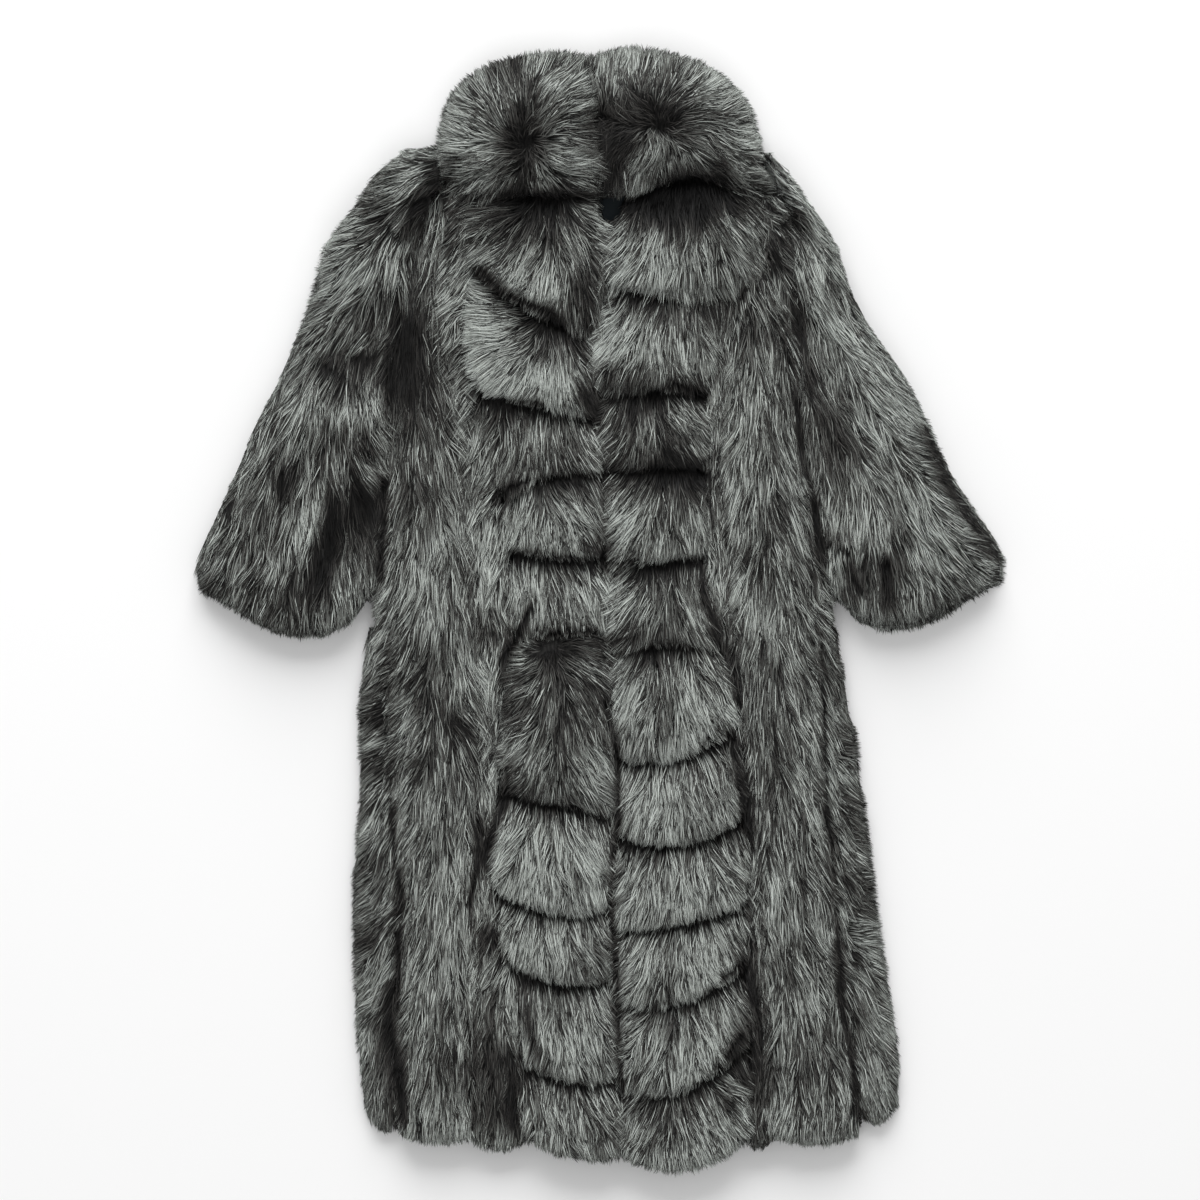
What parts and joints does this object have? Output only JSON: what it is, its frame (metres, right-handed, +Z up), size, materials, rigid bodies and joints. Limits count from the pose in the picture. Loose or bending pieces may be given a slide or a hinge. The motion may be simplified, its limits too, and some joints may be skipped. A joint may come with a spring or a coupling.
{
  "type": "fur coat",
  "caption": "Full-length silver fox fur coat laid flat on its back, with a deep rolled collar, stacked pelt bands down both fronts and flattened sleeves.",
  "frame": {"origin": "centre of the coat's outline, on the surface it lies on", "axes": "+Y from the hem to the collar, +X to the wearer's left, +Z up from the surface"},
  "size_m": [0.9654, 1.3438, 0.0861],
  "materials": {
    "fur_silver": "long silver and black fox guard hair over dense underfur, soft sheen",
    "fur_dark": "long dark brown-grey fox guard hair, soft sheen",
    "lining": "smooth dark blue-green satin lining"
  },
  "bodies": {
    "root": {"back": "fur_dark", "side_r": "fur_dark", "side_l": "fur_dark", "front_r": "fur_silver", "front_l": "fur_silver", "strip_r": "fur_silver", "strip_l": "fur_silver", "band_r_01": "fur_silver", "band_r_02": "fur_silver", "band_r_03": "fur_silver", "band_r_04": "fur_silver", "band_r_05": "fur_silver", "band_r_06": "fur_silver", "band_r_07": "fur_silver", "band_r_08": "fur_silver", "band_r_09": "fur_silver", "band_r_10": "fur_silver", "band_l_01": "fur_silver", "band_l_02": "fur_silver", "band_l_03": "fur_silver", "band_l_04": "fur_silver", "band_l_05": "fur_silver", "band_l_06": "fur_silver", "band_l_07": "fur_silver", "band_l_08": "fur_silver", "band_l_09": "fur_silver", "band_l_10": "fur_silver", "band_l_11": "fur_silver", "collar_r": "fur_silver", "collar_l": "fur_silver", "sleeve_r_top": "fur_silver", "sleeve_r_under": "fur_silver", "sleeve_l_top": "fur_silver", "sleeve_l_under": "fur_silver", "neck_lining": "lining"}
  },
  "joints": []
}
